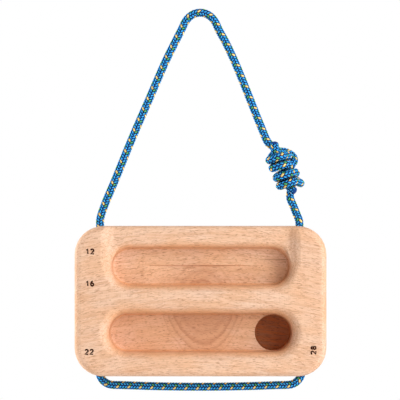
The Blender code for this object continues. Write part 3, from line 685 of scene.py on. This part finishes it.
class Beech(Shader):
    """The block's wood, whose figure is laid on one colour over the other."""

    def __init__(self, material):
        super().__init__(material)
        coordinates = self.add("TexCoord").outputs
        self.place = coordinates["Object"]
        self.x, self.y, self.z = self.add("SeparateXYZ", {0: self.place}).outputs
        sideways, _, level = self.add("SeparateXYZ", {0: coordinates["Normal"]}).outputs
        self.facing_sideways = self.math('ABSOLUTE', sideways)
        self.facing_level = self.math('ABSOLUTE', level)
        self.find_grain()
        self.find_faces()

    def wander(self, most, scale):
        """A slow shift to either side, by up to half of the most."""
        return self.line(self.noise(self.place, scale, WANDER_DETAIL), most, -most / 2)

    def find_grain(self):
        """How far from the heart each place lies, and its place along the bowed grain."""
        shift = self.add("CombineXYZ", {1: self.wander(*WANDER_Y), 2: self.wander(*WANDER_Z)})
        moved = self.vector('ADD', self.place, shift.outputs[0])
        moved_x, self.moved_y, self.moved_z = self.add("SeparateXYZ", {0: moved}).outputs
        x = self.math('SUBTRACT', moved_x, HEART_AT[0])
        y = self.math('SUBTRACT', self.moved_y, HEART_AT[1])
        z = self.math('SUBTRACT', self.moved_z, HEART_AT[2])
        self.bow = self.product(x, x)
        reach = self.math('SQRT', self.math('ADD', self.product(y, y), self.product(z, z)))
        self.rings = self.line(self.bow, RINGS_NARROW, reach)
        lift = self.add("CombineXYZ", {2: self.product(self.bow, GRAIN_BOW)})
        self.grain = self.vector('ADD', self.place, lift.outputs[0])

    def deeper(self, low, high):
        """0 nearer the front than low, 1 deeper than high."""
        return self.ramp(self.y, FRONT + low, FRONT + high)

    def find_faces(self):
        """Where the cut faces, the ends and the back are."""
        self.inside = self.product(
            self.fall(self.math('ABSOLUTE', self.x), *OPENINGS_X),
            self.fall(self.distance(self.z, OPENINGS_MIDDLE_Z), *OPENINGS_Z),
            self.fall(self.y, *OPENINGS_Y))
        self.routed = self.product(self.deeper(*ROUTED_DEPTHS), self.inside)
        self.bored = self.product(self.deeper(*BORED_DEPTHS), self.inside)
        self.end_on = self.ramp(self.facing_sideways, *END_FACING)
        self.back = self.ramp(self.y, *BACK_Y)

    def lay(self, layer, *shares):
        """Cover the colour so far with a layer, where all the shares are."""
        colour, strength = layer
        self.colour = self.mix(self.product(*shares, strength), self.colour, colour)

    def figure(self, along, across, *detail):
        """Noise stretched along the grain."""
        return self.noise(self.grain, (along, across, across), *detail)

    def years(self, value, per_metre, start, darkest):
        """Lines, one to a year, that darken slowly and end quickly."""
        part = self.math('FRACT', self.product(value, per_metre))
        return self.product(self.ramp(part, start, darkest), self.fall(part, darkest, YEAR_ENDS))

    def paint_ground(self):
        """The faces inside the openings are painted darker as shade in the recesses, and darker
        still in the bore; the wood near the heart is darker.
        """
        tone = self.ramp(self.figure(*BROAD_TONE), *TONE_EDGES)
        # Painted shade: the faces inside the openings darker than the open ones
        self.colour = self.mix(self.routed, self.mix(tone, *OPEN_FACE_TONES), self.mix(tone, *RECESS_SHADED_TONES))
        patch = self.figure(*PATCHES)
        self.lay(WARM_PATCH, self.ramp(patch, *WARM_PATCH_EDGES))
        self.lay(PALE_PATCH, self.fall(patch, *PALE_PATCH_EDGES))
        # Painted shade in the finger hole's bore
        self.lay(BORE_SHADE, self.bored)
        self.lay(HEARTWOOD, self.fall(self.rings, *HEARTWOOD_REACH), self.routed)

    def paint_years(self):
        """Flat years on the back, level ones round the right lips, and rings elsewhere."""
        flat = self.line(self.bow, BACK_YEARS_BOW, self.moved_z)
        self.lay(BACK_YEAR, self.years(flat, *BACK_YEARS), self.back, self.rest(self.end_on))
        self.lay(LEVEL_YEAR, self.years(self.moved_y, *LEVEL_YEARS),
                 self.ramp(self.x, *LEVEL_YEARS_X), self.deeper(*LEVEL_YEAR_DEPTHS))
        number = self.add("CombineXYZ", {0: self.rings}).outputs[0]
        strong = self.ramp(self.noise(number, *STRONG_YEARS), *STRONG_YEAR_EDGES)
        off_back = self.rest(self.back)
        near_heart = self.product(self.fall(self.rings, *STRONG_RINGS_REACH), off_back)
        share = self.math('ADD', self.line(near_heart, RING_SHARE_NEAR_HEART, RING_SHARE),
                          self.product(self.end_on, RING_SHARE_ON_ENDS))
        self.lay(RING_YEAR, self.years(self.rings, *RING_YEARS), strong,
                 self.math('MAXIMUM', off_back, self.end_on), share)

    def paint_cut_faces(self):
        """Painted shade on the lips that face up or down, end grain darker than the rest, and
        painted shade at the pockets' ends.
        """
        # Painted shade on the lips that face up and down
        self.lay(LIP_SHADE, self.deeper(*LIP_DEPTHS), self.ramp(self.facing_level, *LIP_FACING),
                 self.inside)
        outer_end = self.product(self.end_on, self.rest(self.inside), OUTER_END_SHARE)
        in_pocket = self.math('SUBTRACT', self.product(self.deeper(*POCKET_END_DEPTHS),
                                                       self.inside), self.bored)
        # Painted shade at the pockets' ends, on top of their end grain
        pocket_end_shade = self.product(self.ramp(self.facing_sideways, *POCKET_END_FACING),
                                  in_pocket, POCKET_END_SHADE_SHARE)
        self.lay(END_GRAIN_AND_SHADE, self.math('ADD', outer_end, pocket_end_shade))
        self.lay(PORE_LINE, self.fall(self.distance(self.z, PORE_LINE_Z), *PORE_LINE_WIDTH),
                 self.ramp(self.x, *PORE_LINE_START), self.fall(self.x, *PORE_LINE_END),
                 self.routed)

    def paint_fine_figure(self):
        """Streaks, threads and flecks along the grain; the relief follows them."""
        streak = self.figure(*STREAKS)
        self.lay(STREAK, self.ramp(streak, *STREAK_EDGES),
                 self.line(self.routed, STREAK_SHARE_MORE, STREAK_SHARE))
        self.lay(THREAD, self.ramp(self.figure(*THREADS), *STREAK_EDGES))
        short = self.product(self.ramp(self.figure(*FLECKS), *FLECK_EDGES), FLECK_SHARE)
        long = self.product(self.ramp(self.figure(*LONG_FLECKS), *LONG_FLECK_EDGES),
                            LONG_FLECK_SHARE)
        flecks = self.math('MAXIMUM', short, long)
        self.lay(FLECK, flecks, self.line(self.routed, FLECKS_CUT_MORE, FLECKS_SANDED))
        height = self.math('SUBTRACT', streak, self.product(flecks, FLECK_PIT))
        self.bump = self.add("Bump", {"Strength": GRAIN_BUMP, "Distance": GRAIN_HEIGHT,
                                      "Height": height})


def beech_material():
    material = bpy.data.materials.new("oiled_beech")
    wood = Beech(material)
    wood.paint_ground()
    wood.paint_years()
    wood.paint_cut_faces()
    wood.paint_fine_figure()
    wood.surface(wood.colour, wood.bump, Roughness=0.55, Specular_IOR_Level=0.35,
                 Coat_Weight=0.08, Coat_Roughness=0.35)
    return material


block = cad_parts["edge_block"]
block.data.materials.clear()
block.data.materials.append(beech_material())


# Numbers burned into the front, each the size of one edge in millimetres

# Each number with its middle in x and z, and how far it is turned in degrees
MARKS = (("12", -0.0773, -0.1644, 0), ("16", -0.0773, -0.1868, 0), ("22", -0.0778, -0.2345, 0),
         ("28", 0.0789, -0.2334, 90))
MARK_HEIGHT = 0.0043
STROKE_RADIUS = 0.00056
MARK_RISE = 0.00005
DIGIT_STEP = 0.0034
DIGIT_STRETCH = 1.12
HALF_DIGIT = 0.28
ARC_STEPS = 14
BURNED = ((0.030, 0.006, 0.002, 1), (0.055, 0.011, 0.003, 1))
BURNED_GRAIN = ((600.0, 2500.0, 2500.0), 2.0)
BURNED_EDGES = (0.35, 0.7)


def arc(x, y, across, up, start, end):
    """Points on part of an ellipse, in shares of a digit's height."""
    angles = [radians(start + (end - start) * k / ARC_STEPS) for k in range(ARC_STEPS + 1)]
    return [(x + across * cos(angle), y + up * sin(angle)) for angle in angles]


def digit_lines(digit):
    """The strokes of one digit, with its height from 0 to 1."""
    if digit == "1":
        return [[(0.10, 0.76), (0.36, 1.0), (0.36, 0.0)]]
    if digit == "2":
        return [arc(0.29, 0.71, 0.27, 0.29, 170, -30) + [(0.0, 0.0), (0.60, 0.0)]]
    if digit == "6":
        return [arc(0.28, 0.30, 0.26, 0.30, 0, 360), arc(0.44, 0.40, 0.42, 0.62, 180, 95)]
    return [arc(0.28, 0.77, 0.21, 0.23, 0, 360), arc(0.28, 0.27, 0.27, 0.27, 0, 360)]


def mark_material():
    material = bpy.data.materials.new("burned_mark")
    s = Shader(material)
    grain = s.noise(s.add("TexCoord").outputs["Object"], *BURNED_GRAIN)
    s.surface(s.mix(s.ramp(grain, *BURNED_EDGES), *BURNED), Roughness=0.8, Specular_IOR_Level=0.1)
    return material


def mark_lines(text, material):
    """The strokes of one number as round lines."""
    lines = bpy.data.curves.new("mark_" + text, 'CURVE')
    lines.dimensions = '3D'
    lines.bevel_depth = STROKE_RADIUS
    lines.bevel_resolution = 1
    lines.use_fill_caps = True
    lines.materials.append(material)
    drawn = MARK_HEIGHT - 2 * STROKE_RADIUS
    for place, digit in enumerate(text):
        shift = (place - 0.5) * DIGIT_STEP - HALF_DIGIT * drawn * DIGIT_STRETCH
        for stroke in digit_lines(digit):
            spline = lines.splines.new('POLY')
            spline.points.add(len(stroke) - 1)
            for point, (across, up) in zip(spline.points, stroke):
                point.co = (shift + across * DIGIT_STRETCH * drawn, (up - 0.5) * drawn, 0, 1)
    return lines


def make_marks():
    material = mark_material()
    for text, x, z, turn in MARKS:
        mark = bpy.data.objects.new("mark_" + text, mark_lines(text, material))
        mark.location = (x, FRONT - MARK_RISE, z)
        mark.rotation_euler = (radians(90), radians(-turn), 0)
        mark.scale = (1, 1, MARK_RISE / STROKE_RADIUS)
        bpy.context.scene.collection.objects.link(mark)
        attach(mark, "block")


make_marks()


# Floor, world and lamps

FLOOR_Z = -0.36
FLOOR_REACH = 3.0

# The floor's own colour, which lights the object, and the shaded and glowing parts of its look
FLOOR_COLOUR = (0.86, 0.86, 0.86, 1)
FLOOR_ROUGHNESS = 0.9
FLOOR_SHADED = (0.16, 0.16, 0.16, 1)
FLOOR_GLOW = 0.84

# The world is white to look at, and lights the object with this strength
WHITE = (1, 1, 1, 1)
WORLD_LIGHT = 0.28

# Each lamp's name, place, size, power in watts, and whether it is mirrored on the object
LAMPS_AIM_AT = (0.0, 0.0, -0.15)
LAMPS = (("key", (1.60, -1.32, 0.30), (1.3, 2.2), 48.5, True),
         ("fill", (0.75, -2.1, 0.15), (0.5, 0.5), 4.0, True),
         ("left_rim", (-1.7, 0.40, 0.1), (0.8, 0.8), 35.0, False),
         ("right_rim", (1.7, 0.6, 0.1), (0.8, 0.8), 6.0, False),
         ("back_light", (0.9, 2.2, 0.5), (1.4, 1.4), 18.0, False))


def floor_material():
    """Pale to look at, with the object's shadow, and clear from below."""
    material = bpy.data.materials.new("pale_floor")
    s = Shader(material)
    plain = s.add("BsdfPrincipled", {"Base Color": FLOOR_COLOUR, "Roughness": FLOOR_ROUGHNESS})
    shaded = s.add("BsdfDiffuse", {0: FLOOR_SHADED})
    glow = s.add("Emission", {0: WHITE, 1: FLOOR_GLOW})
    pale = s.add("AddShader", {0: shaded.outputs[0], 1: glow.outputs[0]})
    above = s.add("MixShader", {0: s.looked_at(), 1: plain.outputs[0], 2: pale.outputs[0]})
    below = s.add("BsdfTransparent")
    side = s.add("NewGeometry").outputs["Backfacing"]
    either = s.add("MixShader", {0: side, 1: above.outputs[0], 2: below.outputs[0]})
    s.add("OutputMaterial", {0: either.outputs[0]})
    return material


def make_floor():
    mesh = bpy.data.meshes.new("floor")
    corners = [(x * FLOOR_REACH, y * FLOOR_REACH, FLOOR_Z)
               for x, y in ((-1, -1), (1, -1), (1, 1), (-1, 1))]
    mesh.from_pydata(corners, [], [(0, 1, 2, 3)])
    mesh.materials.append(floor_material())
    floor = bpy.data.objects.new("floor", mesh)
    bpy.context.scene.collection.objects.link(floor)


def make_world():
    world = bpy.data.worlds.new("studio")
    bpy.context.scene.world = world
    s = Shader(world)
    strength = s.choose(s.looked_at(), 1.0, WORLD_LIGHT)
    background = s.add("Background", {0: WHITE, 1: strength})
    s.add("OutputWorld", {0: background.outputs[0]})


def make_lamp(name, place, size, power, mirrored):
    """A flat lamp; one that isn't mirrored lights the object but makes no glare on it."""
    data = bpy.data.lights.new(name, 'AREA')
    data.shape = 'RECTANGLE'
    data.size, data.size_y = size
    data.energy = power
    lamp = bpy.data.objects.new(name, data)
    lamp.location = place
    aim = Vector(LAMPS_AIM_AT) - Vector(place)
    lamp.rotation_euler = aim.to_track_quat('-Z', 'Y').to_euler()
    lamp.visible_glossy = mirrored
    bpy.context.scene.collection.objects.link(lamp)


make_floor()
make_world()
for lamp in LAMPS:
    make_lamp(*lamp)
bpy.context.scene.view_settings.view_transform = 'Standard'
